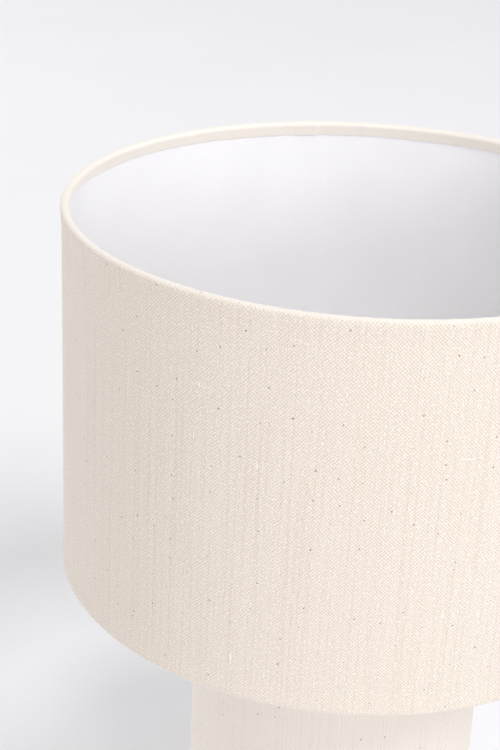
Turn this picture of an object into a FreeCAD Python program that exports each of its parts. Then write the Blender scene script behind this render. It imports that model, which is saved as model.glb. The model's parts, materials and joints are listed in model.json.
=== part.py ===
import FreeCAD, Part
import math
import operator
import os
import types
import Sketcher

# Table lamp: a fabric-covered hollow column carries a switched lampholder, and a straight drum shade of
# the same fabric rests on the holder's shoulder under a threaded ring. Millimetres, +Z up, origin on
# the lamp's axis at the underside of the felt pad. -Y is the front, with the switch knob, and the cord
# gland is at the back, +Y.

DIMENSIONS = [
    # shade
    ("shade_radius", 175.0, "outermost radius, at the rolled edges"),
    ("shade_height", 227.0, "over both rolled edges"),
    ("shade_bottom", 238.0, "height of the shade's lower edge above the table"),
    ("cloth", 0.7, "thickness of the woven fabric"),
    ("edge_proud", 0.7, "how far a rolled edge stands out from the wall"),
    ("edge_reach", 14.0, "height over which a rolled edge blends into the wall"),
    ("turn_in", 9.0, "height of fabric turned to the inside"),
    ("liner_thick", 0.5, "white plastic sheet that the fabric is laminated to"),
    ("wire_radius", 1.75, "steel wire of the two rings and the arms"),
    ("liner_gap", 0.1, "between a wire ring and the edge of the liner"),
    ("seam_from_arm", 13.0, "degrees from the rear arm to the lap seam"),
    ("seam_span", 4.0, "degrees that the lap covers"),
    ("seam_step", 0.3, "extra thickness at the lap"),
    ("arm_count", 3, "arms of the spider"),
    ("arm_turn", 90.0, "degrees from +X to the rear arm"),
    ("arm_start", 25.5, "radius of an arm's inner end, under the fitter ring"),
    ("arm_bend", 36.0, "radius where an arm bends downwards"),
    ("weld", 0.4, "depth of each weld on the wire"),
    ("notch_radius", 2.2, "cut in the turned fabric where an arm passes"),
    ("fitter_bore", 21.0, "radius of the fitter ring's hole"),
    ("fitter_radius", 31.0, "outer radius of the fitter ring"),
    ("fitter_thick", 1.5, "flat steel of the fitter ring"),
    ("rest_gap", 0.05, "between faces that rest on each other"),
    # column
    ("column_radius", 92.0, "outside of the fabric"),
    ("column_height", 240.0, "top of the fabric folded over the rim"),
    ("felt_thick", 2.0, "felt pad"),
    ("felt_inset", 3.0, "felt pad inside the column's edge"),
    ("edge_round", 1.0, "rounding where the fabric folds over an edge"),
    ("fold_width", 12.0, "fabric folded onto the top and the underside"),
    ("core_wall", 4.0, "wall of the board tube"),
    ("board_gap", 0.2, "between a disc and the tube"),
    ("board_thick", 9.0, "fibreboard discs"),
    ("cap_cloth_inset", 6.0, "cloth disc on the top inside the column's edge"),
    ("column_seam_step", 0.3, "extra thickness at the column's lap seam"),
    ("column_seam_turn", 88.0, "degrees from +X to the column's lap seam"),
    ("column_seam_span", 5.0, "degrees that the column's lap covers"),
    ("ballast_radius", 66.0, "steel weight"),
    ("ballast_thick", 8.0, "steel weight"),
    ("ballast_hole", 2.3, "screw clearance in the weight"),
    ("ballast_circle", 45.0, "radius of the weight's screw circle"),
    ("screw_count", 3, "screws in each circle"),
    ("screw_radius", 1.75, "shank of a wood screw"),
    ("screw_head", 3.6, "radius of a screw's head"),
    ("screw_head_height", 2.2, "height of a screw's head"),
    ("pilot_gap", 0.05, "between a screw and its pilot hole"),
    ("base_screw_length", 26.0, "board to block"),
    ("ballast_screw_length", 16.0, "weight to board"),
    ("block_circle", 78.0, "radius of the blocks' screw circle"),
    ("block_inner", 68.5, "distance of a block's inner face from the axis"),
    ("block_half", 10.0, "half of a block's width"),
    ("block_height", 25.0, "blocks glued inside the tube"),
    # cord gland
    ("gland_height", 30.0, "height of the cord's way out"),
    ("gland_bore", 3.5, "radius of the cord's way out"),
    ("gland_barrel", 5.0, "radius of the gland's threaded barrel"),
    ("gland_flange", 8.0, "radius of the gland's flange"),
    ("gland_flange_thick", 3.0, "gland's flange"),
    ("gland_length", 17.0, "whole length of the gland"),
    ("gland_hole", 5.2, "hole through the tube and fabric"),
    ("gland_nut_corner", 9.2, "nut, centre to corner"),
    ("gland_nut_thick", 4.0, "nut"),
    ("gland_nut_gap", 0.6, "nut to the curved wall"),
    # nipple and collar
    ("nipple_radius", 5.0, "M10 hollow threaded nipple"),
    ("nipple_bore", 3.25, "way for the lead"),
    ("nipple_end", 2.0, "nipple below its nut"),
    ("nipple_play", 0.05, "between the nipple and what it passes through"),
    ("washer_radius", 10.5, "washer under the top board"),
    ("washer_thick", 1.5, "washer under the top board"),
    ("nut_corner", 8.1, "nipple nut, centre to corner"),
    ("nut_thick", 5.0, "nipple nut"),
    ("collar_radius", 15.0, "turned collar under the lampholder"),
    ("collar_height", 4.0, "turned collar under the lampholder"),
    # lampholder, heights from its foot
    ("neck_radius", 9.0, "neck that the nipple screws into"),
    ("neck_height", 8.0, "neck"),
    ("cup_radius", 19.0, "outside of the lower cup"),
    ("cup_wall", 2.0, "wall of the lower cup"),
    ("cup_flare", 13.0, "height where the flare ends"),
    ("cup_floor", 10.5, "height of the cup's floor"),
    ("cup_height", 28.0, "top of the lower cup"),
    ("skirt_radius", 19.75, "crest of the outer thread"),
    ("skirt_bore", 17.2, "inside of the threaded skirt"),
    ("skirt_height", 38.0, "threaded skirt with its flange"),
    ("skirt_lip", 14.6, "radius of the mouth"),
    ("lip_thick", 2.0, "lip round the mouth"),
    ("flange_radius", 24.0, "shoulder that the shade rests on"),
    ("flange_thick", 2.5, "shoulder"),
    ("thread_pitch", 2.5, "outer thread"),
    ("thread_depth", 0.7, "outer thread"),
    ("thread_turns", 12, "grooves of the outer thread"),
    ("insulator_radius", 16.9, "ceramic insert"),
    ("insulator_base", 30.0, "underside of the insert"),
    ("insulator_floor", 38.0, "floor of the insert"),
    ("insulator_top", 62.0, "rim of the insert"),
    ("insulator_bore", 14.5, "inside of the insert"),
    ("shell_bore", 13.4, "crest of the screw shell's thread"),
    ("shell_radius", 14.4, "outside of the screw shell"),
    ("shell_height", 25.3, "screw shell"),
    ("lamp_pitch", 3.63, "lamp thread"),
    ("shell_groove", 0.5, "depth of the screw shell's thread"),
    ("shell_turns", 6, "grooves of the screw shell"),
    ("leaf_thick", 0.5, "centre contact"),
    ("leaf_width", 5.0, "centre contact"),
    ("leaf_foot", 10.5, "end of the contact from the axis"),
    ("leaf_bend", 5.5, "where the contact starts to rise"),
    ("leaf_tip", 4.5, "other end of the contact"),
    ("rivet_circle", 8.0, "rivets from the axis"),
    ("rivet_radius", 1.2, "rivet shank"),
    ("rivet_head", 2.0, "rivet head"),
    ("rivet_head_thick", 0.8, "rivet head"),
    ("rivet_below", 4.0, "rivet shank below the insert"),
    ("terminal_width", 6.0, "terminal block along X"),
    ("terminal_depth", 7.0, "terminal block along Y"),
    ("terminal_height", 8.0, "terminal block"),
    ("terminal_screw", 1.5, "radius of a terminal screw"),
    ("terminal_screw_head", 2.6, "radius of its head"),
    ("grub_radius", 1.5, "grub screw that locks the holder"),
    ("grub_length", 3.8, "grub screw"),
    ("grub_height", 4.0, "grub screw above the holder's foot"),
    # switch, lengths along its shaft from the lamp's axis
    ("switch_height", 20.6, "shaft above the holder's foot"),
    ("switch_box_half", 5.5, "half width and height of the switch block"),
    ("switch_box_near", 8.0, "inner end of the switch block"),
    ("switch_box_far", 15.8, "outer end of the switch block"),
    ("bush_radius", 3.4, "threaded bush round the shaft"),
    ("bush_end", 22.5, "outer end of the bush"),
    ("bush_nut_corner", 5.6, "nut on the bush, centre to corner"),
    ("bush_nut_thick", 2.0, "nut on the bush"),
    ("shaft_radius", 2.0, "switch shaft"),
    ("shaft_play", 0.05, "running clearance of the shaft"),
    ("shaft_near", 9.0, "inner end of the shaft"),
    ("knob_near", 26.0, "inner face of the knob"),
    ("knob_length", 16.0, "knob"),
    ("knob_radius", 7.5, "knob"),
    ("knob_round", 2.0, "rounding of the knob's end"),
    ("knob_bore", 12.0, "depth of the knob's bore"),
    ("knob_flutes", 16, "grooves for the grip"),
    ("flute_radius", 0.8, "grooves for the grip"),
    # ring that clamps the shade
    ("ring_bore", 19.85, "runs on the crest of the outer thread"),
    ("ring_radius", 28.0, "outside"),
    ("ring_height", 8.0, "height"),
    ("ring_web", 2.5, "flat foot that presses on the fitter ring"),
    ("ring_wall", 24.0, "outside of the ring's upper part"),
    ("ring_notches", 18, "finger notches"),
    ("ring_notch", 1.6, "radius of a finger notch"),
    # bulb, heights from its tip
    ("bulb_above", 42.5, "tip of the bulb above the holder's foot"),
    ("bulb_length", 92.0, "whole bulb"),
    ("bulb_radius", 18.5, "diffuser"),
    ("bulb_wall", 1.2, "diffuser"),
    ("tip_radius", 4.0, "contact at the tip"),
    ("tip_height", 1.2, "contact at the tip"),
    ("cone_radius", 9.0, "insulating cone"),
    ("cone_height", 5.5, "top of the insulating cone"),
    ("cap_crest", 13.2, "crest of the lamp cap's thread"),
    ("cap_bore", 11.6, "inside of the lamp cap"),
    ("cap_foot", 4.6, "start of the lamp cap"),
    ("cap_shoulder", 7.0, "end of the lamp cap's shoulder"),
    ("cap_top", 26.0, "end of the lamp cap"),
    ("cap_groove", 1.0, "depth of the lamp cap's thread"),
    ("cap_turns", 5, "grooves of the lamp cap"),
    ("neck_top", 44.0, "end of the bulb's plastic neck"),
    ("neck_foot", 13.4, "radius of the neck at the cap"),
    ("neck_wall", 1.5, "bulb's plastic neck"),
    ("led_plate_radius", 16.0, "aluminium plate of the light source"),
    ("led_plate_thick", 1.2, "aluminium plate of the light source"),
    ("led_plate_height", 42.0, "underside of that plate"),
    ("chip_count", 8, "light-emitting chips"),
    ("chip_circle", 10.5, "radius of the chips' circle"),
    ("chip_half", 1.6, "half of a chip's side"),
    ("chip_thick", 0.8, "chip"),
    ("driver_width", 18.0, "driver board"),
    ("driver_thick", 1.2, "driver board"),
    ("driver_foot", 9.0, "start of the driver board"),
    ("driver_height", 30.0, "driver board"),
]

doc = FreeCAD.newDocument("table_lamp")
sheet = doc.addObject("Spreadsheet::Sheet", "dims")
parts = []


class Size:
    """A length that carries its number and the spreadsheet expression that gives it."""

    def __init__(self, value, text):
        self.value = value
        self.text = text

    def __add__(self, other):
        return combined(self, "+", other)

    def __sub__(self, other):
        return combined(self, "-", other)

    def __mul__(self, other):
        return combined(self, "*", other)

    def __truediv__(self, other):
        return combined(self, "/", other)


SIGNS = {"+": operator.add, "-": operator.sub, "*": operator.mul, "/": operator.truediv}


def as_size(thing):
    """A plain number as a Size, or the Size itself."""
    if isinstance(thing, Size):
        return thing
    return Size(float(thing), str(thing))


def combined(left, sign, right):
    """The Size of a sum, difference, product or quotient."""
    left = as_size(left)
    right = as_size(right)
    return Size(SIGNS[sign](left.value, right.value), f"({left.text} {sign} {right.text})")


def fill_sheet():
    """Write the driving dimensions into the sheet and return them as named Sizes."""
    sizes = {}
    for row, (alias, value, meaning) in enumerate(DIMENSIONS, start=1):
        sheet.set(f"A{row}", meaning)
        sheet.set(f"B{row}", str(value))
        sheet.setAlias(f"B{row}", alias)
        sizes[alias] = Size(float(value), f"dims.{alias}")
    doc.recompute()
    return types.SimpleNamespace(**sizes)


def bind(thing, **properties):
    """Tie properties of a document object to spreadsheet expressions."""
    for name, value in properties.items():
        thing.setExpression(name, as_size(value).text)


def place(part, position=(0, 0, 0), axis=(0, 0, 1), angle=0):
    """Move a sub-part to a position and turn it about an axis by an angle in degrees."""
    spot = [as_size(value) for value in position]
    turn = as_size(angle)
    rotation = FreeCAD.Rotation(FreeCAD.Vector(*axis), turn.value)
    part.Placement = FreeCAD.Placement(FreeCAD.Vector(*(size.value for size in spot)), rotation)
    for letter, size in zip("xyz", spot):
        part.setExpression(f"Placement.Base.{letter}", size.text)
    if isinstance(angle, Size):
        part.setExpression("Placement.Rotation.Angle", turn.text)
    return part


def keep(part, label):
    """Name a sub-part and count it among the pieces of the lamp."""
    part.Label = label
    parts.append(part)
    return part


# Sketches and PartDesign features

def origin_feature(body, role):
    """One of a body's own origin planes or axes."""
    return next(feature for feature in body.Origin.OriginFeatures if feature.Role == role)


def arc_centre(start, end, radius):
    """Centre of the arc from start to end; a positive radius turns left, a negative one right."""
    middle = (start + end) * 0.5
    half = (end - start).Length / 2
    rise = math.sqrt(max(radius * radius - half * half, 0.0))
    along = (end - start).normalize()
    left = FreeCAD.Vector(-along.y, along.x, 0)
    return middle + left * math.copysign(rise, radius)


def edge_between(start, end, radius):
    """A line, or an arc where a radius is given, and the number of the end that is its start."""
    if radius is None:
        return Part.LineSegment(start, end), 1
    centre = arc_centre(start, end, radius)
    circle = Part.Circle(centre, FreeCAD.Vector(0, 0, 1), abs(radius))
    first, last = (start, end) if radius > 0 else (end, start)
    angles = [math.atan2(point.y - centre.y, point.x - centre.x) for point in (first, last)]
    return Part.ArcOfCircle(circle, angles[0], angles[1]), 1 if radius > 0 else 2


def pin_point(sketch, geometry, end, spot):
    """Hold a point at its two coordinates, or on an axis where a coordinate is nought."""
    for kind, axis, size in (("DistanceX", -2, spot[0]), ("DistanceY", -1, spot[1])):
        size = as_size(size)
        if size.text == "0":
            sketch.addConstraint(Sketcher.Constraint("PointOnObject", geometry, end, axis))
            continue
        number = sketch.addConstraint(Sketcher.Constraint(kind, -1, 1, geometry, end, size.value))
        sketch.setExpression(f"Constraints[{number}]", size.text)


def add_outline(sketch, corners):
    """Close a loop through corners (x, y); a third entry is the radius of the arc that arrives."""
    first = sketch.GeometryCount
    points = [FreeCAD.Vector(as_size(corner[0]).value, as_size(corner[1]).value, 0) for corner in corners]
    starts = []
    for index, point in enumerate(points):
        arriving = corners[(index + 1) % len(corners)]
        radius = as_size(arriving[2]) if len(arriving) > 2 else None
        signed = radius.value if radius else None
        edge, start = edge_between(point, points[(index + 1) % len(points)], signed)
        number = sketch.addGeometry(edge, False)
        starts.append(start)
        if radius:
            held = sketch.addConstraint(Sketcher.Constraint("Radius", number, abs(signed)))
            sketch.setExpression(f"Constraints[{held}]", f"abs({radius.text})")
    for index, corner in enumerate(corners):
        after = (index + 1) % len(corners)
        leaving_end = 3 - starts[index]
        join = Sketcher.Constraint("Coincident", first + index, leaving_end, first + after, starts[after])
        sketch.addConstraint(join)
        pin_point(sketch, first + index, starts[index], corner)


def add_circle(sketch, x, y, radius):
    """A circle held by its centre and radius."""
    centre = FreeCAD.Vector(as_size(x).value, as_size(y).value, 0)
    circle = Part.Circle(centre, FreeCAD.Vector(0, 0, 1), as_size(radius).value)
    number = sketch.addGeometry(circle, False)
    pin_point(sketch, number, 3, (x, y))
    held = sketch.addConstraint(Sketcher.Constraint("Radius", number, as_size(radius).value))
    sketch.setExpression(f"Constraints[{held}]", as_size(radius).text)


def new_sketch(body, role, outlines=(), circles=(), shift=0, turn=0):
    """A sketch on an origin plane, moved along its own x by shift or turned about its own y."""
    sketch = body.newObject("Sketcher::SketchObject", f"{body.Name}_sketch")
    sketch.AttachmentSupport = [(origin_feature(body, role), "")]
    sketch.MapMode = "FlatFace"
    offset = FreeCAD.Vector(as_size(shift).value, 0, 0)
    rotation = FreeCAD.Rotation(FreeCAD.Vector(0, 1, 0), as_size(turn).value)
    sketch.AttachmentOffset = FreeCAD.Placement(offset, rotation)
    if isinstance(shift, Size):
        sketch.setExpression("AttachmentOffset.Base.x", shift.text)
    if isinstance(turn, Size):
        sketch.setExpression("AttachmentOffset.Rotation.Angle", turn.text)
    for corners in outlines:
        add_outline(sketch, corners)
    for circle in circles:
        add_circle(sketch, *circle)
    return sketch


def new_body(label):
    """An empty PartDesign body."""
    return doc.addObject("PartDesign::Body", label)


def spin(body, kind, outlines, circles=(), angle=360, shift=0, turn=0):
    """Revolve outlines, given as radius and height, about the vertical line through the shift."""
    sketch = new_sketch(body, "XZ_Plane", outlines, circles, shift, turn)
    feature = body.newObject(f"PartDesign::{kind}", f"{body.Name}_{kind.lower()}")
    feature.Profile = sketch
    feature.ReferenceAxis = (sketch, ["V_Axis"])
    bind(feature, Angle=angle)
    body.Tip = feature
    return feature


def raise_pad(body, role, outlines, circles=(), height=0, middle=False):
    """Pad outlines from an origin plane, or to both sides of it."""
    feature = body.newObject("PartDesign::Pad", f"{body.Name}_pad")
    feature.Profile = new_sketch(body, role, outlines, circles)
    bind(feature, Length=height)
    feature.Midplane = middle
    body.Tip = feature
    return feature


def cut_pocket(body, role, circles, depth=None):
    """Cut circles right through the body, or to a depth along the plane's normal."""
    feature = body.newObject("PartDesign::Pocket", f"{body.Name}_pocket")
    feature.Profile = new_sketch(body, role, circles=circles)
    if depth is None:
        feature.Type = "ThroughAll"
        feature.Midplane = True
    else:
        bind(feature, Length=depth)
        feature.Reversed = True
    body.Tip = feature
    return feature


def repeat_round(body, features, count):
    """Repeat features round the body's vertical axis."""
    pattern = body.newObject("PartDesign::PolarPattern", f"{body.Name}_ring")
    pattern.Originals = features
    pattern.Axis = (origin_feature(body, "Z_Axis"), [""])
    pattern.Angle = 360
    bind(pattern, Occurrences=count)
    body.Tip = pattern
    return pattern


def repeat_up(body, feature, pitch, count):
    """Repeat a feature up the body's vertical axis."""
    pattern = body.newObject("PartDesign::LinearPattern", f"{body.Name}_row")
    pattern.Originals = [feature]
    pattern.Direction = (origin_feature(body, "Z_Axis"), [""])
    bind(pattern, Length=pitch * (count - 1), Occurrences=count)
    body.Tip = pattern
    return pattern


def turned(label, corners, circles=()):
    """A body turned about the vertical axis from one outline of radius and height."""
    body = new_body(label)
    spin(body, "Revolution", [corners], circles)
    return body


def tube(label, inner, outer, height):
    """A turned tube that stands on its own origin."""
    return turned(label, [(inner, 0), (outer, 0), (outer, height), (inner, height)])


def disc(label, radius, height, holes=()):
    """A disc that stands on its own origin, with round holes given as (x, y, radius)."""
    body = new_body(label)
    raise_pad(body, "XY_Plane", [], [(0, 0, radius)] + list(holes), height)
    return body


# Part primitives and booleans

def primitive(kind, name, **sizes):
    """A Part primitive with its sizes bound to the sheet."""
    solid = doc.addObject(f"Part::{kind}", name)
    bind(solid, **sizes)
    return solid


def cylinder(name, radius, height, position, axis=(0, 0, 1), angle=0):
    """A cylinder placed by its foot."""
    return place(primitive("Cylinder", name, Radius=radius, Height=height), position, axis, angle)


def cut(name, base, tool):
    """One solid less another."""
    result = doc.addObject("Part::Cut", name)
    result.Base = base
    result.Tool = tool
    return result


def hex_nut(name, corner, thick, hole):
    """A hexagonal nut that stands on its own origin."""
    prism = primitive("Prism", f"{name}_hexagon", Circumradius=corner, Height=thick)
    prism.Polygon = 6
    bore = cylinder(f"{name}_bore", hole, thick * 2, (0, 0, thick / -2))
    return cut(name, prism, bore)


BACKWARDS = {"axis": (1, 0, 0), "angle": -90}
FORWARDS = {"axis": (1, 0, 0), "angle": 90}

d = fill_sheet()

# Levels that several pieces share
core_radius = d.column_radius - d.cloth
core_inner = core_radius - d.core_wall
board_radius = core_inner - d.board_gap
core_foot = d.felt_thick + d.cloth
core_top = d.column_height - d.cloth
top_board_foot = core_top - d.board_thick
collar_foot = d.column_height + d.cloth
holder_foot = collar_foot + d.collar_height
fitter_level = holder_foot + d.cup_height + d.flange_thick + d.rest_gap
wall_radius = d.shade_radius - d.edge_proud
ring_centre = d.shade_radius - d.cloth - d.wire_radius
ring_height = d.cloth + d.wire_radius


# Shade

def shade_fabric():
    """The cloth tube: flat wall, edges rolled round the wire rings and turned up inside the liner."""
    roll = d.cloth + d.wire_radius
    top = d.shade_height
    liner_outer = wall_radius - d.cloth
    liner_inner = liner_outer - d.liner_thick
    turned_inner = liner_inner - d.cloth
    body = new_body("shade_fabric")
    envelope = [
        (ring_centre, 0, roll),
        (d.shade_radius, roll, roll),
        (wall_radius, d.edge_reach),
        (wall_radius, top - d.edge_reach),
        (d.shade_radius, top - roll),
        (ring_centre, top, roll),
        (ring_centre - roll, top - roll, roll),
        (turned_inner, top - d.turn_in),
        (liner_outer, top - d.turn_in),
        (liner_outer, d.turn_in),
        (turned_inner, d.turn_in),
        (ring_centre - roll, roll),
    ]
    spin(body, "Revolution", [envelope])
    liner_foot = ring_height + d.wire_radius + d.liner_gap
    slot = [(liner_inner, liner_foot), (liner_outer, liner_foot),
            (liner_outer, top - liner_foot), (liner_inner, top - liner_foot)]
    spin(body, "Groove", [slot])
    wires = [(ring_centre, ring_height, d.wire_radius), (ring_centre, top - ring_height, d.wire_radius)]
    spin(body, "Groove", [], wires)
    lap = [(wall_radius, d.edge_reach), (wall_radius + d.seam_step, d.edge_reach),
           (wall_radius + d.seam_step, top - d.edge_reach), (wall_radius, top - d.edge_reach)]
    spin(body, "Revolution", [lap], angle=d.seam_span, turn=d.seam_from_arm)
    notch = cut_pocket(body, "YZ_Plane", [(0, ring_height, d.notch_radius)], ring_centre)
    repeat_round(body, [notch], d.arm_count)
    place(body, (0, 0, d.shade_bottom), angle=d.arm_turn)
    return keep(body, "shade_fabric")


def shade_liner():
    """The stiff white sheet inside the cloth, between the two wire rings."""
    outer = wall_radius - d.cloth
    foot = ring_height + d.wire_radius + d.liner_gap
    body = tube("shade_liner", outer - d.liner_thick, outer, d.shade_height - foot * 2)
    place(body, (0, 0, d.shade_bottom + foot))
    return keep(body, "shade_liner")


def shade_wires():
    """The two wire rings that hold the shade's ends round."""
    levels = {"bottom_ring": ring_height, "top_ring": d.shade_height - ring_height}
    for name, level in levels.items():
        torus = primitive("Torus", name, Radius1=ring_centre, Radius2=d.wire_radius)
        place(torus, (0, 0, d.shade_bottom + level))
        keep(torus, name)


def spider_arms():
    """Three wire arms, welded under the fitter ring and to the inside of the bottom ring."""
    body = new_body("spider_arms")
    start_height = fitter_level - d.wire_radius + d.weld - d.shade_bottom
    end_radius = ring_centre - d.wire_radius + d.weld
    spine = body.newObject("Sketcher::SketchObject", "arm_path")
    spine.AttachmentSupport = [(origin_feature(body, "XZ_Plane"), "")]
    spine.MapMode = "FlatFace"
    points = [(d.arm_start, start_height), (d.arm_bend, start_height), (end_radius, ring_height)]
    for index, (near, far) in enumerate(zip(points, points[1:])):
        ends = [FreeCAD.Vector(spot[0].value, spot[1].value, 0) for spot in (near, far)]
        spine.addGeometry(Part.LineSegment(*ends), False)
        pin_point(spine, index, 1, near)
    pin_point(spine, 1, 2, points[2])
    spine.addConstraint(Sketcher.Constraint("Coincident", 0, 2, 1, 1))
    section = body.newObject("Sketcher::SketchObject", "arm_section")
    section.AttachmentSupport = [(origin_feature(body, "YZ_Plane"), "")]
    section.MapMode = "FlatFace"
    section.AttachmentOffset = FreeCAD.Placement(FreeCAD.Vector(0, 0, d.arm_start.value), FreeCAD.Rotation())
    section.setExpression("AttachmentOffset.Base.z", d.arm_start.text)
    add_circle(section, 0, start_height, d.wire_radius)
    doc.recompute()
    arm = body.newObject("PartDesign::AdditivePipe", "arm")
    arm.Profile = section
    arm.Spine = (spine, ["Edge1", "Edge2"])
    arm.Transition = "Round corner"
    body.Tip = arm
    doc.recompute()
    repeat_round(body, [arm], d.arm_count)
    place(body, (0, 0, d.shade_bottom), angle=d.arm_turn)
    return keep(body, "spider_arms")


def fitter_ring():
    """The flat ring that drops over the lampholder and rests on its shoulder."""
    body = tube("fitter_ring", d.fitter_bore, d.fitter_radius, d.fitter_thick)
    place(body, (0, 0, fitter_level))
    return keep(body, "fitter_ring")


def shade_ring():
    """The notched ring that screws down onto the fitter ring."""
    body = turned("shade_ring", [
        (d.ring_bore, 0), (d.ring_radius, 0), (d.ring_radius, d.ring_web), (d.ring_wall, d.ring_web),
        (d.ring_wall, d.ring_height), (d.ring_bore, d.ring_height)])
    notch = cut_pocket(body, "XY_Plane", [(d.ring_radius, 0, d.ring_notch)])
    repeat_round(body, [notch], d.ring_notches)
    place(body, (0, 0, fitter_level + d.fitter_thick + d.rest_gap))
    return keep(body, "shade_ring")


# Column

def gland_drill(name):
    """The round cut for the cord gland, through the back of the column."""
    start = core_inner - d.core_wall
    return cylinder(name, d.gland_hole, d.core_wall * 4, (0, start, d.gland_height), **BACKWARDS)


def column_core():
    """The spiral-wound board tube."""
    pipe = tube("core_pipe", core_inner, core_radius, core_top - core_foot)
    place(pipe, (0, 0, core_foot))
    return keep(cut("column_core", pipe, gland_drill("core_drill")), "column_core")


def column_fabric():
    """The cloth glued round the tube, folded over its rim and under its foot, with a lap at the back."""
    top = d.column_height - d.felt_thick
    fold = d.column_radius - d.fold_width
    body = new_body("fabric_wrap")
    spin(body, "Revolution", [[
        (fold, 0),
        (d.column_radius - d.edge_round, 0),
        (d.column_radius, d.edge_round, d.edge_round),
        (d.column_radius, top - d.edge_round),
        (d.column_radius - d.edge_round, top, d.edge_round),
        (fold, top),
        (fold, top - d.cloth),
        (core_radius, top - d.cloth),
        (core_radius, d.cloth),
        (fold, d.cloth)]])
    lap = [(d.column_radius, d.edge_round), (d.column_radius + d.column_seam_step, d.edge_round),
           (d.column_radius + d.column_seam_step, top - d.edge_round), (d.column_radius, top - d.edge_round)]
    spin(body, "Revolution", [lap], angle=d.column_seam_span, turn=d.column_seam_turn)
    place(body, (0, 0, d.felt_thick))
    return keep(cut("column_fabric", body, gland_drill("fabric_drill")), "column_fabric")


def top_board():
    """The fibreboard disc in the top of the tube, drilled for the nipple."""
    body = disc("top_board", board_radius, d.board_thick, [(0, 0, d.nipple_radius + d.nipple_play)])
    place(body, (0, 0, top_board_foot))
    return keep(body, "top_board")


def top_cloth():
    """The cloth disc that covers the board and the folded edge."""
    radius = d.column_radius - d.cap_cloth_inset
    body = disc("top_cloth", radius, d.cloth, [(0, 0, d.nipple_radius + d.nipple_play)])
    place(body, (0, 0, d.column_height))
    return keep(body, "top_cloth")


def bottom_board():
    """The fibreboard disc in the foot of the tube, with countersunk holes and pilot holes."""
    body = disc("bottom_board", board_radius, d.board_thick)
    shank = cut_pocket(body, "XY_Plane", [(d.block_circle, 0, d.screw_radius + d.pilot_gap)])
    sink = cut_pocket(body, "XY_Plane", [(d.block_circle, 0, d.screw_head + d.pilot_gap)],
                      d.screw_head_height + d.pilot_gap)
    repeat_round(body, [shank, sink], d.screw_count)
    pilot = cut_pocket(body, "XY_Plane", [(d.ballast_circle, 0, d.screw_radius + d.pilot_gap)])
    repeat_round(body, [pilot], d.screw_count)
    place(body, (0, 0, core_foot))
    return keep(body, "bottom_board")


def fixing_blocks():
    """Wooden blocks glued inside the tube, which the bottom board is screwed to."""
    body = new_body("fixing_blocks")
    edge = Size(math.sqrt(board_radius.value ** 2 - d.block_half.value ** 2),
                f"sqrt({board_radius.text}^2 - {d.block_half.text}^2)")
    below = d.block_half * -1
    block = raise_pad(body, "XY_Plane",
                      [[(d.block_inner, below), (edge, below), (edge, d.block_half, board_radius),
                        (d.block_inner, d.block_half)]],
                      [(d.block_circle, 0, d.screw_radius + d.pilot_gap)], d.block_height)
    repeat_round(body, [block], d.screw_count)
    place(body, (0, 0, core_foot + d.board_thick))
    return keep(body, "fixing_blocks")


def screw_ring(label, circle, length, rim):
    """Wood screws on a circle, heads down at the origin; rim is the height of a head's edge."""
    body = new_body(label)
    screw = spin(body, "Revolution", [[
        (0, 0), (d.screw_head, 0), (d.screw_head, rim), (d.screw_radius, d.screw_head_height),
        (d.screw_radius, length - d.screw_radius), (0, length)]], shift=circle)
    repeat_round(body, [screw], d.screw_count)
    return keep(body, label)


def bottom_screws():
    """Countersunk screws up through the bottom board into the blocks."""
    body = screw_ring("bottom_screws", d.block_circle, d.base_screw_length, d.screw_head_height / 2)
    return place(body, (0, 0, core_foot + d.pilot_gap))


def ballast_plate():
    """The steel weight on the bottom board."""
    body = disc("ballast_plate", d.ballast_radius, d.ballast_thick)
    hole = cut_pocket(body, "XY_Plane", [(d.ballast_circle, 0, d.ballast_hole)])
    repeat_round(body, [hole], d.screw_count)
    place(body, (0, 0, core_foot + d.board_thick))
    return keep(body, "ballast_plate")


def ballast_screws():
    """Pan-head screws down through the weight into the board."""
    body = screw_ring("ballast_screws", d.ballast_circle, d.ballast_screw_length, d.screw_head_height)
    level = core_foot + d.board_thick + d.ballast_thick + d.screw_head_height
    return place(body, (0, 0, level), (1, 0, 0), 180)


def felt_pad():
    """The felt disc glued over the underside."""
    return keep(disc("felt_pad", d.column_radius - d.felt_inset, d.felt_thick), "felt_pad")


def cord_gland():
    """The plastic gland at the back, a flange outside and a threaded barrel inside."""
    body = turned("cord_gland", [
        (d.gland_bore, 0), (d.gland_barrel, 0), (d.gland_barrel, d.gland_length - d.gland_flange_thick),
        (d.gland_flange, d.gland_length - d.gland_flange_thick),
        (d.gland_flange, d.gland_length - d.edge_round),
        (d.gland_flange - d.edge_round, d.gland_length, d.edge_round),
        (d.gland_bore, d.gland_length)])
    start = d.column_radius + d.column_seam_step + d.rest_gap - d.gland_length + d.gland_flange_thick
    place(body, (0, start, d.gland_height), **BACKWARDS)
    return keep(body, "cord_gland")


def gland_nut():
    """The nut that holds the gland from inside the tube."""
    nut = hex_nut("gland_nut", d.gland_nut_corner, d.gland_nut_thick, d.gland_barrel)
    place(nut, (0, core_inner - d.gland_nut_gap - d.gland_nut_thick, d.gland_height), **BACKWARDS)
    return keep(nut, "gland_nut")


# Nipple and collar

def threaded_nipple():
    """The hollow threaded nipple that ties the lampholder to the top board."""
    foot = top_board_foot - d.washer_thick - d.nut_thick - d.nipple_end
    body = tube("threaded_nipple", d.nipple_bore, d.nipple_radius, holder_foot + d.neck_height - foot)
    place(body, (0, 0, foot))
    return keep(body, "threaded_nipple")


def nipple_washer():
    """The washer under the top board."""
    body = tube("nipple_washer", d.nipple_radius + d.nipple_play, d.washer_radius, d.washer_thick)
    place(body, (0, 0, top_board_foot - d.washer_thick))
    return keep(body, "nipple_washer")


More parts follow.
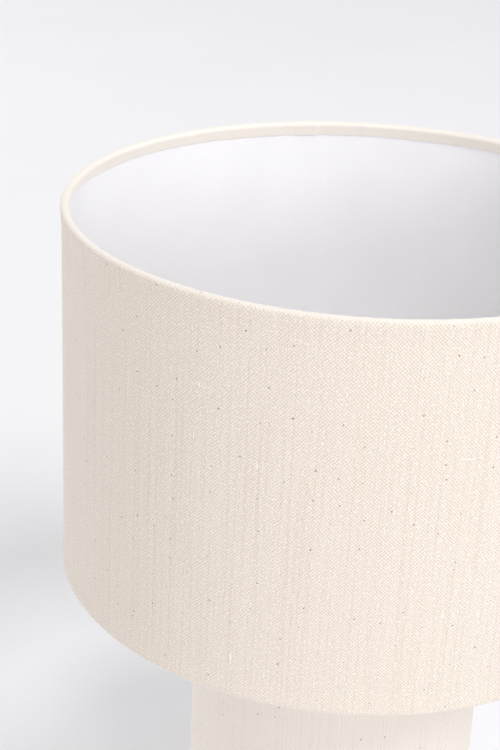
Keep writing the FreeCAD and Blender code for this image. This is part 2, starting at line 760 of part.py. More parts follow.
def nipple_nut():
    """The nut that pulls the nipple down."""
    nut = hex_nut("nipple_nut", d.nut_corner, d.nut_thick, d.nipple_radius)
    place(nut, (0, 0, top_board_foot - d.washer_thick - d.nut_thick))
    return keep(nut, "nipple_nut")


def neck_collar():
    """The turned brass collar between the column's top and the lampholder."""
    body = turned("neck_collar", [
        (d.nipple_radius + d.nipple_play, 0), (d.collar_radius, 0),
        (d.collar_radius, d.collar_height - d.edge_round),
        (d.collar_radius - d.edge_round, d.collar_height, d.edge_round),
        (d.nipple_radius + d.nipple_play, d.collar_height)])
    place(body, (0, 0, collar_foot))
    return keep(body, "neck_collar")


# Lampholder

def lampholder_cup():
    """The lower cup: a neck that screws onto the nipple, flaring to the switch chamber."""
    body = turned("cup_shell", [
        (d.nipple_radius + d.nipple_play, 0), (d.neck_radius, 0), (d.neck_radius, d.neck_height),
        (d.cup_radius, d.cup_flare), (d.cup_radius, d.cup_height),
        (d.cup_radius - d.cup_wall, d.cup_height), (d.cup_radius - d.cup_wall, d.cup_flare + d.cup_wall),
        (d.neck_radius, d.cup_floor), (d.nipple_radius + d.nipple_play, d.cup_floor)])
    bush_way = cylinder("bush_drill", d.bush_radius + d.rest_gap, d.cup_radius * 2,
                        (0, 0, d.switch_height), **FORWARDS)
    grub_way = cylinder("grub_drill", d.grub_radius, d.cup_radius, (0, 0, d.grub_height), **BACKWARDS)
    cup = cut("lampholder_cup", cut("cup_drilled", body, bush_way), grub_way)
    place(cup, (0, 0, holder_foot))
    return keep(cup, "lampholder_cup")


def grub_screw():
    """The grub screw that stops the lampholder turning on its nipple."""
    start = d.nipple_radius + d.nipple_play
    screw = cylinder("grub_screw", d.grub_radius, d.grub_length, (0, start, holder_foot + d.grub_height),
                     **BACKWARDS)
    return keep(screw, "grub_screw")


def lampholder_skirt():
    """The upper half: a shoulder for the shade and a threaded skirt with an inward lip."""
    body = turned("lampholder_skirt", [
        (d.skirt_bore, 0), (d.flange_radius, 0), (d.flange_radius, d.flange_thick),
        (d.skirt_radius, d.flange_thick), (d.skirt_radius, d.skirt_height - d.lip_thick),
        (d.skirt_radius - d.edge_round, d.skirt_height), (d.skirt_lip, d.skirt_height),
        (d.skirt_lip, d.skirt_height - d.lip_thick), (d.skirt_bore, d.skirt_height - d.lip_thick)])
    low = d.flange_thick + d.thread_pitch
    groove = spin(body, "Groove", [[
        (d.skirt_radius + d.thread_depth, low - d.thread_depth),
        (d.skirt_radius + d.thread_depth, low + d.thread_depth),
        (d.skirt_radius - d.thread_depth, low)]])
    repeat_up(body, groove, d.thread_pitch, d.thread_turns)
    place(body, (0, 0, holder_foot + d.cup_height))
    return keep(body, "lampholder_skirt")


def ceramic_insert():
    """The glazed ceramic cup that carries the live parts, drilled for its rivets."""
    body = turned("insert_cup", [
        (0, 0), (d.insulator_radius, 0), (d.insulator_radius, d.insulator_top - d.insulator_base),
        (d.insulator_bore, d.insulator_top - d.insulator_base),
        (d.insulator_bore, d.insulator_floor - d.insulator_base), (0, d.insulator_floor - d.insulator_base)])
    drills = new_body("rivet_drills")
    raise_pad(drills, "XY_Plane", [], [(d.rivet_circle, 0, d.rivet_radius)], d.insulator_floor, True)
    repeat_round(drills, [drills.Tip], Size(2, "2"))
    insert = cut("ceramic_insert", body, drills)
    place(insert, (0, 0, holder_foot + d.insulator_base))
    return keep(insert, "ceramic_insert")


def screw_shell():
    """The brass shell with the rolled lamp thread."""
    body = tube("screw_shell", d.shell_bore, d.shell_radius, d.shell_height)
    half = d.lamp_pitch / 4
    low = d.lamp_pitch
    groove = spin(body, "Groove", [[
        (d.shell_bore - d.shell_groove, low - half), (d.shell_bore + d.shell_groove, low),
        (d.shell_bore - d.shell_groove, low + half)]])
    repeat_up(body, groove, d.lamp_pitch, d.shell_turns)
    place(body, (0, 0, holder_foot + d.insulator_floor))
    return keep(body, "screw_shell")


def centre_contact():
    """The sprung brass leaf that touches the bulb's tip."""
    body = new_body("centre_contact")
    rise = d.bulb_above - d.insulator_floor - d.rest_gap * 2
    foot = d.leaf_foot * -1
    bend = d.leaf_bend * -1
    raise_pad(body, "XZ_Plane", [[
        (foot, 0), (bend, 0), (d.leaf_thick, rise - d.leaf_thick), (d.leaf_tip, rise - d.leaf_thick),
        (d.leaf_tip, rise), (d.leaf_thick / 2, rise), (bend - d.leaf_thick / 2, d.leaf_thick),
        (foot, d.leaf_thick)]], height=d.leaf_width, middle=True)
    place(body, (0, 0, holder_foot + d.insulator_floor))
    return keep(body, "centre_contact")


def pair_on_circle(label, feature_maker):
    """Two equal solids at opposite sides of the axis."""
    body = new_body(label)
    repeat_round(body, [feature_maker(body)], Size(2, "2"))
    return keep(body, label)


def contact_rivets():
    """The rivets that hold the contact and the terminals to the ceramic insert."""
    shank = d.rivet_below + d.insulator_floor - d.insulator_base
    above = shank + d.leaf_thick

    def rivet(body):
        return spin(body, "Revolution", [[
            (0, 0), (d.rivet_radius, 0), (d.rivet_radius, above), (d.rivet_head, above),
            (d.rivet_head, above + d.rivet_head_thick), (0, above + d.rivet_head_thick)]],
            shift=d.rivet_circle)

    rivets = pair_on_circle("contact_rivets", rivet)
    return place(rivets, (0, 0, holder_foot + d.insulator_base - d.rivet_below))


def terminals():
    """The two brass terminal blocks under the insert."""
    left = d.rivet_circle - d.terminal_width / 2
    right = d.rivet_circle + d.terminal_width / 2
    side = d.terminal_depth / 2
    below = side * -1

    def block(body):
        return raise_pad(body, "XY_Plane", [[(left, below), (right, below), (right, side), (left, side)]],
                         height=d.terminal_height)

    blocks = pair_on_circle("terminals", block)
    return place(blocks, (0, 0, holder_foot + d.insulator_base - d.terminal_height))


def terminal_screws():
    """One clamping screw in the back of each terminal."""
    head = d.terminal_depth / 2 + d.rest_gap

    def screw(body):
        return spin(body, "Revolution", [[
            (0, d.leaf_thick), (d.terminal_screw, d.leaf_thick), (d.terminal_screw, head),
            (d.terminal_screw_head, head), (d.terminal_screw_head, head + d.rivet_head),
            (0, head + d.rivet_head)]], shift=d.rivet_circle)

    screws = pair_on_circle("terminal_screws", screw)
    return place(screws, (0, 0, holder_foot + d.insulator_base - d.terminal_height * 0.75), **BACKWARDS)


# Switch

def switch_block():
    """The insulated switch block in the cup, bored for its shaft."""
    half = d.switch_box_half
    deep = d.switch_box_far - d.switch_box_near
    box = primitive("Box", "switch_box", Length=half * 2, Width=deep, Height=half * 2)
    place(box, (half * -1, d.switch_box_far * -1, holder_foot + d.switch_height - half))
    bore = cylinder("switch_bore", d.shaft_radius + d.shaft_play, d.switch_box_far * 2,
                    (0, 0, holder_foot + d.switch_height), **FORWARDS)
    return keep(cut("switch_block", box, bore), "switch_block")


def switch_bush():
    """The threaded bush that carries the shaft through the cup."""
    body = tube("switch_bush", d.shaft_radius + d.shaft_play, d.bush_radius, d.bush_end - d.switch_box_far)
    place(body, (0, d.switch_box_far * -1, holder_foot + d.switch_height), **FORWARDS)
    return keep(body, "switch_bush")


def switch_nut():
    """The nut that locks the bush to the cup."""
    nut = hex_nut("switch_nut", d.bush_nut_corner, d.bush_nut_thick, d.bush_radius)
    place(nut, (0, (d.cup_radius + d.rest_gap) * -1, holder_foot + d.switch_height), **FORWARDS)
    return keep(nut, "switch_nut")


def switch_shaft():
    """The shaft that the knob turns."""
    end = d.knob_near + d.knob_bore
    shaft = cylinder("switch_shaft", d.shaft_radius, end - d.shaft_near,
                     (0, d.shaft_near * -1, holder_foot + d.switch_height), **FORWARDS)
    return keep(shaft, "switch_shaft")


def switch_knob():
    """The fluted knob pressed onto the shaft."""
    body = turned("switch_knob", [
        (d.shaft_radius, 0), (d.knob_radius, 0), (d.knob_radius, d.knob_length - d.knob_round),
        (d.knob_radius - d.knob_round, d.knob_length, d.knob_round), (0, d.knob_length),
        (0, d.knob_bore), (d.shaft_radius, d.knob_bore)])
    flute = cut_pocket(body, "XY_Plane", [(d.knob_radius, 0, d.flute_radius)],
                       d.knob_length - d.knob_round * 2)
    repeat_round(body, [flute], d.knob_flutes)
    place(body, (0, d.knob_near * -1, holder_foot + d.switch_height), **FORWARDS)
    return keep(body, "switch_knob")


# Bulb

def bulb_level(height):
    """A height above the bulb's tip as a height above the table."""
    return holder_foot + d.bulb_above + height


def bulb_contact():
    """The contact at the bulb's tip."""
    body = turned("bulb_contact", [
        (0, 0), (d.tip_radius - d.tip_height, 0), (d.tip_radius, d.tip_height), (0, d.tip_height)])
    place(body, (0, 0, bulb_level(0)))
    return keep(body, "bulb_contact")


def bulb_insulator():
    """The dark glass cone between the tip and the cap."""
    foot = d.tip_height
    body = turned("bulb_insulator", [
        (0, foot), (d.tip_radius, foot), (d.cone_radius, d.cap_foot), (d.cone_radius, d.cone_height),
        (0, d.cone_height)])
    place(body, (0, 0, bulb_level(0)))
    return keep(body, "bulb_insulator")


def bulb_cap():
    """The rolled metal cap with the lamp thread."""
    body = turned("bulb_cap", [
        (d.cone_radius + d.rest_gap, d.cap_foot), (d.cap_bore, d.cap_foot), (d.cap_crest, d.cap_shoulder),
        (d.cap_crest, d.cap_top), (d.cap_bore, d.cap_top), (d.cap_bore, d.cap_shoulder),
        (d.cone_radius + d.rest_gap, d.cone_height)])
    low = d.cap_shoulder + d.lamp_pitch / 2
    half = d.lamp_pitch / 3
    groove = spin(body, "Groove", [[
        (d.cap_crest + d.cap_groove / 4, low - half), (d.cap_crest + d.cap_groove / 4, low + half),
        (d.cap_crest - d.cap_groove, low)]])
    repeat_up(body, groove, d.lamp_pitch, d.cap_turns)
    place(body, (0, 0, bulb_level(0)))
    return keep(body, "bulb_cap")


def bulb_neck():
    """The plastic neck that widens from the cap to the diffuser."""
    body = turned("bulb_neck", [
        (d.neck_foot, d.cap_top), (d.bulb_radius, d.neck_top), (d.bulb_radius - d.neck_wall, d.neck_top),
        (d.neck_foot - d.neck_wall, d.cap_top)])
    place(body, (0, 0, bulb_level(0)))
    return keep(body, "bulb_neck")


def bulb_diffuser():
    """The frosted cover: a straight tube that ends in a dome."""
    shoulder = d.bulb_length - d.bulb_radius
    inner = d.bulb_radius - d.bulb_wall
    body = turned("bulb_diffuser", [
        (inner, d.neck_top), (d.bulb_radius, d.neck_top), (d.bulb_radius, shoulder),
        (0, d.bulb_length, d.bulb_radius), (0, d.bulb_length - d.bulb_wall),
        (inner, shoulder, inner * -1)])
    place(body, (0, 0, bulb_level(0)))
    return keep(body, "bulb_diffuser")


def led_plate():
    """The aluminium plate that carries the chips."""
    body = disc("led_plate", d.led_plate_radius, d.led_plate_thick)
    place(body, (0, 0, bulb_level(d.led_plate_height)))
    return keep(body, "led_plate")


def led_chips():
    """The ring of light-emitting chips."""
    body = new_body("led_chips")
    near = d.chip_circle - d.chip_half
    far = d.chip_circle + d.chip_half
    below = d.chip_half * -1
    corners = [(near, below), (far, below), (far, d.chip_half), (near, d.chip_half)]
    chip = raise_pad(body, "XY_Plane", [corners], height=d.chip_thick)
    repeat_round(body, [chip], d.chip_count)
    place(body, (0, 0, bulb_level(d.led_plate_height + d.led_plate_thick)))
    return keep(body, "led_chips")


def driver_board():
    """The circuit board that feeds the chips, upright in the cap and neck."""
    board = primitive("Box", "driver_board", Length=d.driver_width, Width=d.driver_thick,
                      Height=d.driver_height)
    place(board, (d.driver_width / -2, d.driver_thick / -2, bulb_level(d.driver_foot)))
    return keep(board, "driver_board")


def build():
    """Make every sub-part, from the table up."""
    for make in (
            felt_pad, bottom_board, bottom_screws, fixing_blocks, ballast_plate, ballast_screws,
            column_core, column_fabric, cord_gland, gland_nut, top_board, top_cloth,
            nipple_nut, nipple_washer, threaded_nipple, neck_collar,
            lampholder_cup, grub_screw, lampholder_skirt, ceramic_insert, screw_shell,
            centre_contact, contact_rivets, terminals, terminal_screws,
            switch_block, switch_bush, switch_nut, switch_shaft, switch_knob,
            bulb_contact, bulb_insulator, bulb_cap, bulb_neck, driver_board, led_plate, led_chips,
            bulb_diffuser,
            fitter_ring, shade_ring, spider_arms, shade_wires, shade_liner, shade_fabric):
        make()
    doc.recompute()


def check():
    """Stop if anything in the document failed or a sub-part has no valid solid."""
    for item in doc.Objects:
        if "Invalid" in item.State or "Error" in item.State:
            raise RuntimeError(f"{item.Name} failed: {item.State}")
    for part in parts:
        if part.Shape.isNull() or not part.Shape.isValid() or not part.Shape.Solids:
            raise RuntimeError(f"{part.Label} has no valid solid")


def export():
    """Write each sub-part to its own file."""
    os.makedirs("parts", exist_ok=True)
    for part in parts:
        part.Shape.exportStep(f"parts/{part.Label}.step")
        solids = len(part.Shape.Solids)
        print(f"{part.Label:18s} {solids} solid(s) {part.Shape.Volume:12.1f} mm3")


build()
check()
export()
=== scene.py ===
import json
import math

import bmesh
import bpy
import numpy as np
from mathutils import Matrix, Vector


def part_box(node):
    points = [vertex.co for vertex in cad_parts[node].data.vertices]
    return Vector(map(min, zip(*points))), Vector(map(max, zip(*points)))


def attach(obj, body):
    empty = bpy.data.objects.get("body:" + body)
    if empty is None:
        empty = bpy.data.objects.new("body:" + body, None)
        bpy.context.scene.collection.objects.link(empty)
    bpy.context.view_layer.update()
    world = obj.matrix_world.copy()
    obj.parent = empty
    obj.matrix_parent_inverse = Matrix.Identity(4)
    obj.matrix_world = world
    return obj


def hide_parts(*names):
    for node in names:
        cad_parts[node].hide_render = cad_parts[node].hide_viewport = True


# A table lamp: a straight drum shade of natural woven cloth over a column wrapped in the same cloth.
# Lengths are metres in the model's own frame: the lamp's axis is Z, the table is z = 0, the switch
# faces -Y and the cord gland +Y.

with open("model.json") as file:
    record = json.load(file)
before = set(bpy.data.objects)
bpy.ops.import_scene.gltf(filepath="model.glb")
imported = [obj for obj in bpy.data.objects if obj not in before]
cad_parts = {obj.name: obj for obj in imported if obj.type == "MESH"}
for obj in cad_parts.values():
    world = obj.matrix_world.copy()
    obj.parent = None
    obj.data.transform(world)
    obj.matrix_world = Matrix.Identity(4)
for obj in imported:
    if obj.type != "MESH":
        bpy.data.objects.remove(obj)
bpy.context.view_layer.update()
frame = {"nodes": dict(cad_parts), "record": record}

MM = 0.001
TURN = 2.0 * math.pi
CLOTH_MAP = "cloth"


def reach(node):
    """Outermost radius of a round node that stands on the lamp's axis."""
    low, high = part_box(node)
    return (high.x - low.x) / 2


# The shade's sizes: its cloth's thickness, the height over which a hem blends into the wall, the height
# of cloth turned inside, the length of cloth at each end that shows pale, and the liner's thickness
CLOTH = 0.7 * MM
HEM_REACH = 14.0 * MM
TURNED_IN = 9.0 * MM
HEM_PALE = 13.5 * MM
LINER = 0.5 * MM
shade_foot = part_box("shade_fabric")[0].z
shade_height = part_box("shade_fabric")[1].z - shade_foot
shade_radius = reach("shade_fabric")
liner_radius = reach("shade_liner")
wire_radius = (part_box("bottom_ring")[1].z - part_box("bottom_ring")[0].z) / 2
wire_ring = reach("bottom_ring") - wire_radius
wall_radius = liner_radius + CLOTH
SHADE_SEAM = math.radians(103)
SHADE_LAP_DEGREES = 4.0

# The column's sizes: the cloth folded in at both ends, and the rounding of the folds
column_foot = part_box("column_fabric")[0].z
column_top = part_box("column_fabric")[1].z
column_radius = reach("column_fabric")
FOLD = 12.0 * MM
EDGE_ROUND = 1.0 * MM
COLUMN_SEAM = math.radians(88)
COLUMN_LAP_DEGREES = 5.0
COLUMN_LAP_STEP = 0.6 * MM

# The cloth's threads, centre to centre
THREAD = 1.01 * MM

# Grid columns once round a wrapped cloth and once round a disc, and how far a hand-cut disc's edge strays
CLOTH_STEPS = 360
DISC_STEPS = 240
HAND_CUT = 0.3 * MM

# No slub's middle is nearer than this to an edge
SLUB_FREE = 9.0 * MM

# How much a ripple may lean, in radians for each metre of height
STEEPEST = 60.0


# Shapes

def ease(x):
    """Smooth step from 0 to 1: three x squared less two x cubed, held flat outside."""
    x = np.clip(x, 0.0, 1.0)
    return x * x * (3.0 - 2.0 * x)


def line(start, end, steps):
    """Points of (radius, height) spaced evenly from start to end."""
    return np.linspace(start, end, steps + 1)


def arc(centre, radius, start, end, steps):
    """Points of (radius, height) round a centre, from one angle to another in degrees."""
    angle = np.radians(np.linspace(start, end, steps + 1))
    return np.array(centre) + radius * np.stack([np.cos(angle), np.sin(angle)], axis=1)


def chain(*paths):
    """One path from several, each of which starts where the one before it ends."""
    return np.concatenate([paths[0]] + [path[1:] for path in paths[1:]])


def thicken(path, thickness):
    """The closed section of a strip of cloth along a path.

    Each point moves half the thickness to either side along the path's normal, and the two faces join
    at the strip's cut edges. Returns the section, its normals and the distance along the cloth.
    """
    step = np.gradient(path, axis=0)
    along = step / np.linalg.norm(step, axis=1)[:, None]
    normal = np.stack([along[:, 1], -along[:, 0]], axis=1)
    length = np.concatenate([[0.0], np.cumsum(np.linalg.norm(np.diff(path, axis=0), axis=1))])
    section = np.concatenate([path + normal * thickness / 2, (path - normal * thickness / 2)[::-1]])
    return section, np.concatenate([normal, normal[::-1]]), np.concatenate([length, length[::-1]])


def wrap(section, normal, push, lift, angles):
    """Carry a section round the lamp's axis.

    Each point is (radius, height) plus push times its normal, and lift is added to its height; x and y
    are the radius times the cosine and sine of the angle. push and lift may differ for each point of the
    section, down the rows, and for each angle, along the columns.
    """
    radius = section[:, 0, None] + normal[:, 0, None] * push
    height = section[:, 1, None] + normal[:, 1, None] * push + lift
    return np.stack([radius * np.cos(angles), radius * np.sin(angles), height], axis=-1)


def surface(name, points, uv=None, closed_rows=True, sharp=math.radians(40)):
    """A mesh through one grid of points or several, one four-sided face for each square of a grid.

    points has the axes rows, columns and xyz, with one more in front where there are several grids.
    Columns wrap round, and rows do where they are closed. uv has one row and one column more than points,
    which repeat the first ones at the end of the flat cloth. If the volume that a grid's faces enclose
    comes out negative, they are turned over. Edges past the sharp angle aren't shaded smooth.
    """
    rows, columns = points.shape[-3:-1]
    row, column = np.meshgrid(np.arange(rows - (not closed_rows)), np.arange(columns), indexing="ij")
    steps = [(0, 0), (0, 1), (1, 1), (1, 0)]
    corners = np.stack([(row + a) % rows * columns + (column + b) % columns for a, b in steps], axis=-1)
    corners = corners.reshape(-1, 4)
    grids = points.reshape(-1, rows * columns, 3)
    a, b, c, d = (grids[:, corners[:, k]] for k in range(4))
    inside_out = np.sum(a * (np.cross(b, c) + np.cross(c, d)), axis=(1, 2)) < 0.0
    faces = corners + rows * columns * np.arange(len(grids))[:, None, None]
    faces[inside_out] = faces[inside_out, :, ::-1]
    mesh = bpy.data.meshes.new(name)
    mesh.from_pydata(grids.reshape(-1, 3).tolist(), [], faces.reshape(-1, 4).tolist())
    if uv is not None:
        places = np.stack([uv[row + a, column + b] for a, b in steps], axis=-2).reshape(-1, 4, 2)
        places = places[:, ::-1] if inside_out[0] else places
        layer = mesh.uv_layers.new(name=CLOTH_MAP)
        layer.data.foreach_set("uv", places.astype(np.float32).ravel())
    merge_points(mesh)
    mesh.shade_smooth()
    mesh.set_sharp_from_angle(angle=sharp)
    return mesh


def merge_points(mesh):
    """Merge the points that coincide."""
    same_place = 0.001 * MM
    shape = bmesh.new()
    shape.from_mesh(mesh)
    bmesh.ops.remove_doubles(shape, verts=shape.verts, dist=same_place)
    shape.to_mesh(mesh)
    shape.free()


def cloth_places(angles, radius, length):
    """Where each point of a wrapped strip lies on the flat cloth: round the axis, and along the strip."""
    across = np.append(angles, angles[0] + TURN) * radius
    along = np.append(length, length[0])
    return np.stack(np.meshgrid(across, along), axis=-1)


def add_piece(name, mesh, material, body, replaced=()):
    """A finished piece that rides on a body, stands for CAD nodes and takes the finish it is given."""
    piece = bpy.data.objects.new(name, mesh)
    bpy.context.scene.collection.objects.link(piece)
    mesh.materials.append(material)
    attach(piece, body)
    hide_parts(*replaced)
    return piece


def seam_angles(start):
    """Angles once round the axis from a lap's edge, with a few more close to that edge."""
    even = np.linspace(0.0, TURN, CLOTH_STEPS, endpoint=False)
    return start + np.union1d(even, np.radians([0.05, 0.1, 0.15, 0.3]))


def lap(angles, start, span, step):
    """How far a lap stands out: it rises at its cut edge and falls slowly where what is beneath it ends.

    start is in radians. span, and the two widths named here, are in degrees.
    """
    edge, fall = 0.15, 1.5
    past = np.degrees(angles - start)
    return step * ease(past / edge) * (1.0 - ease((past - span) / fall))


def ripple(angles, heights, seed, counts, size):
    """Slow unevenness: sines with whole numbers of waves round the axis, each leaning its own way.

    counts are the numbers of waves, size is the most that they add up to, and a metre of height shifts a
    wave by up to STEEPEST radians.
    """
    draw = np.random.default_rng(seed)
    phase, lean = draw.uniform(0.0, TURN, len(counts)), draw.uniform(-1.0, 1.0, len(counts))
    total = sum(np.sin(count * angles + start + slope * heights * STEEPEST)
                for count, start, slope in zip(counts, phase, lean))
    return total * size / len(counts)


def shade_ripple(angles, heights):
    """The shade wall's unevenness, which its raised threads follow too."""
    return ripple(angles, heights, seed=11, counts=[3, 5, 9, 14, 23], size=0.25 * MM)


# Materials

def colour(code):
    """Linear red, green, blue and alpha of an sRGB hex colour."""
    values = [int(code[place:place + 2], 16) / 255 for place in (0, 2, 4)]
    return [v / 12.92 if v <= 0.04045 else ((v + 0.055) / 1.055) ** 2.4 for v in values] + [1.0]


def begin(name):
    """A new material of this name and its empty node tree."""
    material = bpy.data.materials.new(name)
    material.use_nodes = True
    material.node_tree.nodes.clear()
    return material, material.node_tree


def add(tree, kind, settings, inputs):
    """Add a node with its settings; inputs name or number its sockets and give values, nodes or outputs."""
    made = tree.nodes.new("ShaderNode" + kind)
    for name, value in settings.items():
        setattr(made, name, value)
    for name, value in inputs.items():
        if isinstance(name, int):
            socket = made.inputs[name]
        else:
            socket = next(s for s in made.inputs if s.enabled and s.name == name)
        if isinstance(value, bpy.types.Node):
            value = next(s for s in value.outputs if s.enabled)
        if isinstance(value, bpy.types.NodeSocket):
            tree.links.new(value, socket)
        else:
            socket.default_value = value
    return made


def woven_cloth(name, lit_upright_tone, shaded_level_tone, contrast, strip=None):
    """Unbleached cotton and linen in plain weave, each thread over one and under one.

    The eye gets a matt cream cloth, chequered by upright threads painted paler and level ones painted
    darker, painted light and shade of a side light, with brown-grey painted shade in the gaps between
    them, streaked up its length by thick and thin yarn, with a few bits of husk.
    contrast scales the difference between the threads. A strip's length is given where its two ends are
    turned over wires: there the cloth is strained smooth and the white glue behind makes it paler, and the
    same paler colour is also painted light on the bands turned inside and a painted highlight along the rims.
    """
    material, tree = begin(name)
    flat = add(tree, "UVMap", {"uv_map": CLOTH_MAP}, {})
    # threads wander from straight by up to about 0.4 of their spacing, in bends about 8 mm long
    wander = add(tree, "TexNoise", {"noise_dimensions": "2D"},
                 {"Vector": flat, "Scale": 1 / (8 * MM), "Detail": 2.0})
    bent = add(tree, "VectorMath", {"operation": "MULTIPLY_ADD"},
               {0: wander.outputs["Color"], 1: (1.1 * THREAD, 1.1 * THREAD, 0.0), 2: flat})
    phase = add(tree, "VectorMath", {"operation": "SCALE"}, {0: bent, "Scale": math.pi / THREAD})
    wave = add(tree, "VectorMath", {"operation": "SINE"}, {0: phase})
    signed = add(tree, "SeparateXYZ", {}, {0: wave})
    size = add(tree, "SeparateXYZ", {}, {0: add(tree, "VectorMath", {"operation": "ABSOLUTE"}, {0: wave})})
    # over is 1 where an upright thread is on top, -1 where a level one is, and each thread's top is round,
    # the root of a half wave across it
    over = add(tree, "Math", {"operation": "MULTIPLY"}, {0: signed.outputs["X"], 1: signed.outputs["Y"]})
    rise = add(tree, "Math", {"operation": "MULTIPLY_ADD"}, {0: over, 1: 0.5, 2: 0.5})
    fall = add(tree, "Math", {"operation": "MULTIPLY_ADD"}, {0: over, 1: -0.5, 2: 0.5})
    round_upright = add(tree, "Math", {"operation": "SQRT"}, {0: size.outputs["X"]})
    round_level = add(tree, "Math", {"operation": "SQRT"}, {0: size.outputs["Y"]})
    upright = add(tree, "Math", {"operation": "MULTIPLY"}, {0: round_upright, 1: rise})
    level = add(tree, "Math", {"operation": "MULTIPLY"}, {0: round_level, 1: fall})
    weave = add(tree, "Math", {"operation": "MAXIMUM"}, {0: upright, 1: level})
    # thick and thin yarn: streaks one or two threads wide and about 200 mm long up the cloth
    drawn = add(tree, "VectorMath", {"operation": "MULTIPLY"},
                {0: bent, 1: (1 / (1.6 * MM), 1 / (200 * MM), 0.0)})
    yarn = add(tree, "TexNoise", {"noise_dimensions": "2D"},
               {"Vector": drawn, "Scale": 1.0, "Detail": 1.0, "Roughness": 1.0})
    # each thread's own twist: short thick and thin places
    twist = add(tree, "TexNoise", {"noise_dimensions": "2D"},
                {"Vector": bent, "Scale": 1 / (1.3 * MM), "Detail": 2.0, "Roughness": 0.6})
    # painted light and shade: an upright thread on top takes the paler tone and a level one the darker, as a
    # side light shows the weave
    woven = add(tree, "Mix", {"data_type": "RGBA"},
                {"Factor": add(tree, "MapRange", {}, {"Value": over, "From Min": -1 / contrast,
                                                      "From Max": 1 / contrast}),
                 "A": colour(shaded_level_tone), "B": colour(lit_upright_tone)})
    thin = add(tree, "MapRange", {}, {"Value": yarn, "From Min": 0.55, "From Max": 0.3,
                                      "To Min": 0.0, "To Max": 0.33 * contrast})
    streaked = add(tree, "Mix", {"data_type": "RGBA"}, {"Factor": thin, "A": woven, "B": colour("C8BAAA")})
    loose = add(tree, "MapRange", {}, {"Value": twist, "From Min": 0.5, "From Max": 0.75,
                                       "To Min": 0.0, "To Max": 0.7 * contrast})
    twisted = add(tree, "Mix", {"data_type": "RGBA"}, {"Factor": loose, "A": streaked, "B": colour("F2EAE0")})
    # painted shade: the gaps between threads, where the weave is low, are painted brown-grey
    depth = add(tree, "MapRange", {}, {"Value": weave, "From Min": 0.0, "From Max": 0.5,
                                       "To Min": 0.6 * contrast, "To Max": 0.0})
    painted_gap_shade = add(tree, "Mix", {"data_type": "RGBA"}, {"Factor": depth, "A": twisted, "B": colour("AD9D8A")})
    # bits of husk: dark for half a millimetre and gone by 1.1 mm across, and in a little over half of the
    # cloth's 13 mm squares
    husk = add(tree, "TexVoronoi", {"voronoi_dimensions": "2D"}, {"Vector": bent, "Scale": 1 / (13 * MM)})
    spot = add(tree, "MapRange", {}, {"Value": husk.outputs["Distance"], "From Min": 0.02, "From Max": 0.042,
                                      "To Min": 1.0, "To Max": 0.0})
    chosen = add(tree, "SeparateXYZ", {}, {0: husk.outputs["Color"]})
    strength = add(tree, "MapRange", {}, {"Value": chosen.outputs["X"], "From Min": 0.45, "From Max": 0.9,
                                          "To Max": 1.0})
    speck = add(tree, "Math", {"operation": "MULTIPLY"}, {0: spot, 1: strength})
    painted = add(tree, "Mix", {"data_type": "RGBA"},
                  {"Factor": speck, "A": painted_gap_shade, "B": colour("6F5F4A")})
    fibre = add(tree, "TexNoise", {"noise_dimensions": "2D"},
                {"Vector": bent, "Scale": 1 / (0.2 * MM), "Detail": 2.0})
    relief = add(tree, "Math", {"operation": "MULTIPLY_ADD"}, {0: fibre, 1: 0.2, 2: weave})
    swollen = add(tree, "Math", {"operation": "MULTIPLY_ADD"}, {0: yarn, 1: 0.8, 2: relief})
    # pale hems: partly the white glue behind the strained cloth, partly painted light on the bands turned
    # inside and a painted highlight along the rolled rims
    if strip:
        along = add(tree, "SeparateXYZ", {}, {0: flat})
        from_middle = add(tree, "Math", {"operation": "SUBTRACT"}, {0: along.outputs["Y"], 1: strip / 2})
        far = add(tree, "Math", {"operation": "ABSOLUTE"}, {0: from_middle})
        pale, fade = strip / 2 - HEM_PALE, 3 * MM
        turned = add(tree, "MapRange", {"interpolation_type": "SMOOTHSTEP"}, {
            "Value": far, "From Min": pale, "From Max": pale + fade, "To Min": 0.0, "To Max": 0.65})
        painted = add(tree, "Mix", {"data_type": "RGBA"},
                      {"Factor": turned, "A": painted, "B": colour("F7F2EA")})
        swollen = add(tree, "Mix", {"data_type": "FLOAT"}, {"Factor": turned, "A": swollen, "B": 0.6})
    bump = add(tree, "Bump", {}, {"Strength": 1.0, "Distance": 0.1 * contrast * MM, "Height": swollen})
    shader = add(tree, "BsdfPrincipled", {}, {
        "Base Color": painted, "Roughness": 0.9, "Specular IOR Level": 0.2, "Sheen Weight": 0.5,
        "Sheen Roughness": 0.4, "Sheen Tint": colour("F8F6F0"), "Normal": bump})
    add(tree, "OutputMaterial", {}, {"Surface": shader})
    return material


